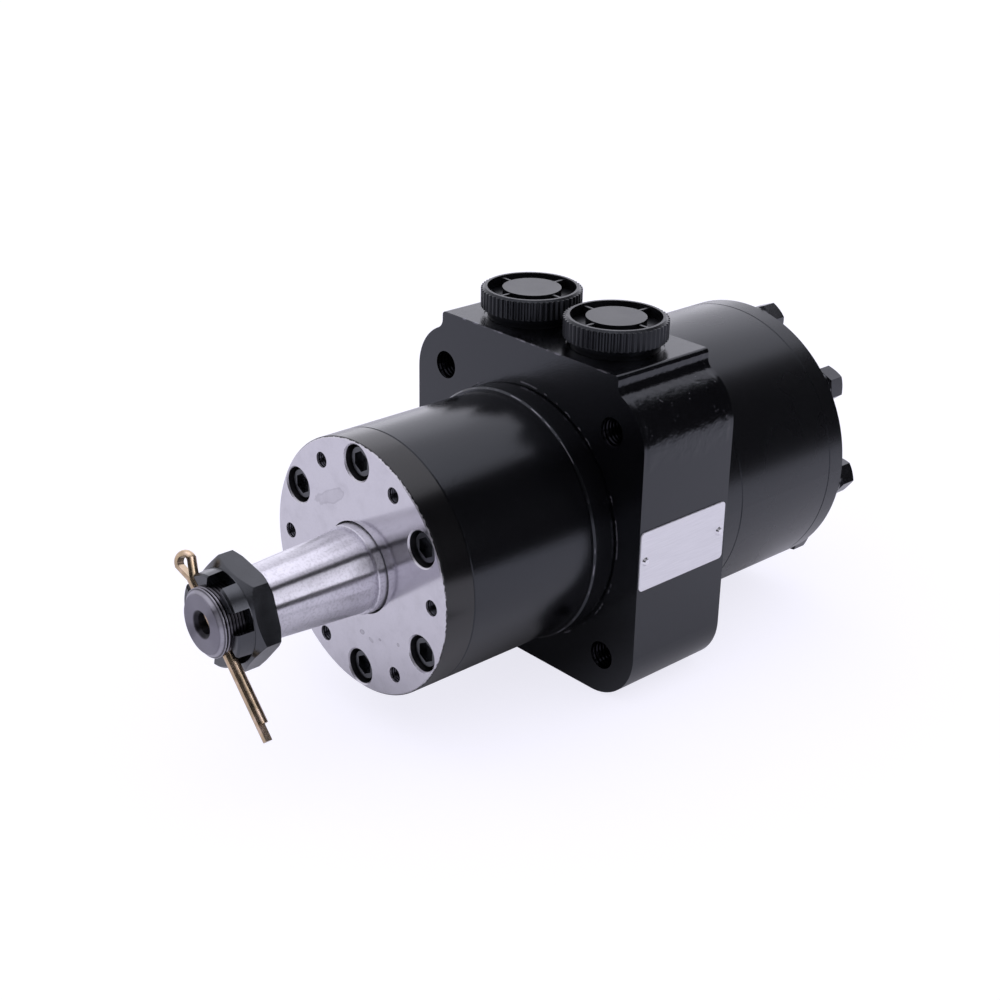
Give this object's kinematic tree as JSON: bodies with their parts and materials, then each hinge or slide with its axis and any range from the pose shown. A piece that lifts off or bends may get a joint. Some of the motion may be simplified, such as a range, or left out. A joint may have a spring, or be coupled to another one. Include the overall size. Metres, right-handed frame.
{
  "type": "orbital hydraulic motor",
  "caption": "Low-speed orbital hydraulic motor with a square flange block, roller gear set, spool valve, tapered shaft with castle nut and two top ports closed by plugs.",
  "frame": {"origin": "on the shaft axis, in the plane of the flange block's mounting face", "axes": "-Y along the shaft towards its threaded end, +Z towards the ports, +X towards the nameplate"},
  "size_m": [0.1436, 0.3219, 0.1611],
  "materials": {
    "black_paint": "semi-gloss black enamel over cast iron and steel",
    "turned_steel": "fine turned face",
    "ground_steel": "ground and polished",
    "bearing_steel": "ground",
    "black_oxide": "black oxide, oiled",
    "screw_steel": "phosphated",
    "yellow_zinc": "yellow zinc plate",
    "seal_rubber": "matt nitrile",
    "plug_plastic": "moulded black polyethylene",
    "plate_aluminium": "satin, bare"
  },
  "bodies": {
    "housing": {"main_housing": "black_paint", "front_cover": "turned_steel", "front_cover_screws": "screw_steel", "shaft_seal": "seal_rubber", "dust_wiper": "seal_rubber", "cover_o_ring": "seal_rubber", "front_bearing_cup": "bearing_steel", "rear_bearing_cup": "bearing_steel", "spacer_plate": "black_paint", "housing_o_ring": "seal_rubber", "plate_o_ring": "seal_rubber", "end_o_ring": "seal_rubber", "ring_housing": "black_paint", "end_cover": "black_paint", "end_cover_bolts": "screw_steel", "nameplate": "plate_aluminium", "nameplate_rivets": "plate_aluminium"},
    "shaft": {"output_shaft": "ground_steel", "castle_nut": "black_oxide", "cotter_pin": "yellow_zinc", "taper_key": "turned_steel", "front_bearing_cone": "bearing_steel", "rear_bearing_cone": "bearing_steel", "cone_spacer": "turned_steel", "retaining_ring": "turned_steel"},
    "front_roller_set": {"front_bearing_rollers": "bearing_steel", "front_bearing_cage": "turned_steel"},
    "rear_roller_set": {"rear_bearing_rollers": "bearing_steel", "rear_bearing_cage": "turned_steel"},
    "orbit_carrier": {"drive_spacer": "turned_steel"},
    "rotor_body": {"rotor": "ground_steel"},
    "link_body": {"drive_link": "turned_steel"},
    "roller_body_1": {"ring_roller_1": "ground_steel"},
    "roller_body_2": {"ring_roller_2": "ground_steel"},
    "roller_body_3": {"ring_roller_3": "ground_steel"},
    "roller_body_4": {"ring_roller_4": "ground_steel"},
    "roller_body_5": {"ring_roller_5": "ground_steel"},
    "roller_body_6": {"ring_roller_6": "ground_steel"},
    "roller_body_7": {"ring_roller_7": "ground_steel"},
    "roller_body_8": {"ring_roller_8": "ground_steel"},
    "plug_body_a": {"port_plug_a": "plug_plastic"},
    "plug_body_b": {"port_plug_b": "plug_plastic"}
  },
  "joints": [
    {"name": "shaft_spin", "type": "hinge", "parent": "housing", "child": "shaft", "pos_m": [0, 0, 0], "axis": [0, 1, 0], "continuous": true},
    {"name": "front_roller_set_spin", "type": "hinge", "parent": "housing", "child": "front_roller_set", "pos_m": [0, -0.0655, 0], "axis": [0, 1, 0], "continuous": true},
    {"name": "rear_roller_set_spin", "type": "hinge", "parent": "housing", "child": "rear_roller_set", "pos_m": [0, -0.0185, 0], "axis": [0, 1, 0], "continuous": true},
    {"name": "orbit_turn", "type": "hinge", "parent": "housing", "child": "orbit_carrier", "pos_m": [0, 0.104, 0], "axis": [0, 1, 0], "continuous": true},
    {"name": "rotor_spin", "type": "hinge", "parent": "orbit_carrier", "child": "rotor_body", "pos_m": [0.0015, 0.104, 0.0026], "axis": [0, 1, 0], "continuous": true},
    {"name": "link_spin", "type": "hinge", "parent": "orbit_carrier", "child": "link_body", "pos_m": [0, 0.02, 0], "axis": [0.0178, 0.9994, 0.0309], "continuous": true},
    {"name": "roller_1_spin", "type": "hinge", "parent": "housing", "child": "roller_body_1", "pos_m": [0.02, 0.104, 0.03464], "axis": [0, 1, 0], "continuous": true},
    {"name": "roller_2_spin", "type": "hinge", "parent": "housing", "child": "roller_body_2", "pos_m": [-0.01035, 0.104, 0.03864], "axis": [0, 1, 0], "continuous": true},
    {"name": "roller_3_spin", "type": "hinge", "parent": "housing", "child": "roller_body_3", "pos_m": [-0.03464, 0.104, 0.02], "axis": [0, 1, 0], "continuous": true},
    {"name": "roller_4_spin", "type": "hinge", "parent": "housing", "child": "roller_body_4", "pos_m": [-0.03864, 0.104, -0.01035], "axis": [0, 1, 0], "continuous": true},
    {"name": "roller_5_spin", "type": "hinge", "parent": "housing", "child": "roller_body_5", "pos_m": [-0.02, 0.104, -0.03464], "axis": [0, 1, 0], "continuous": true},
    {"name": "roller_6_spin", "type": "hinge", "parent": "housing", "child": "roller_body_6", "pos_m": [0.01035, 0.104, -0.03864], "axis": [0, 1, 0], "continuous": true},
    {"name": "roller_7_spin", "type": "hinge", "parent": "housing", "child": "roller_body_7", "pos_m": [0.03464, 0.104, -0.02], "axis": [0, 1, 0], "continuous": true},
    {"name": "roller_8_spin", "type": "hinge", "parent": "housing", "child": "roller_body_8", "pos_m": [0.03864, 0.104, 0.01035], "axis": [0, 1, 0], "continuous": true},
    {"name": "plug_a_lift", "type": "slide", "parent": "housing", "child": "plug_body_a", "axis": [0, 0, 1], "range_m": [0, 0.016]},
    {"name": "plug_b_lift", "type": "slide", "parent": "housing", "child": "plug_body_b", "axis": [0, 0, 1], "range_m": [0, 0.016]}
  ],
  "couplings": [
    {"joint": "front_roller_set_spin", "follows": "shaft_spin", "ratio": 0.42571},
    {"joint": "rear_roller_set_spin", "follows": "shaft_spin", "ratio": 0.42571},
    {"joint": "orbit_turn", "follows": "shaft_spin", "ratio": -7},
    {"joint": "rotor_spin", "follows": "shaft_spin", "ratio": 8},
    {"joint": "link_spin", "follows": "shaft_spin", "ratio": 8}
  ]
}
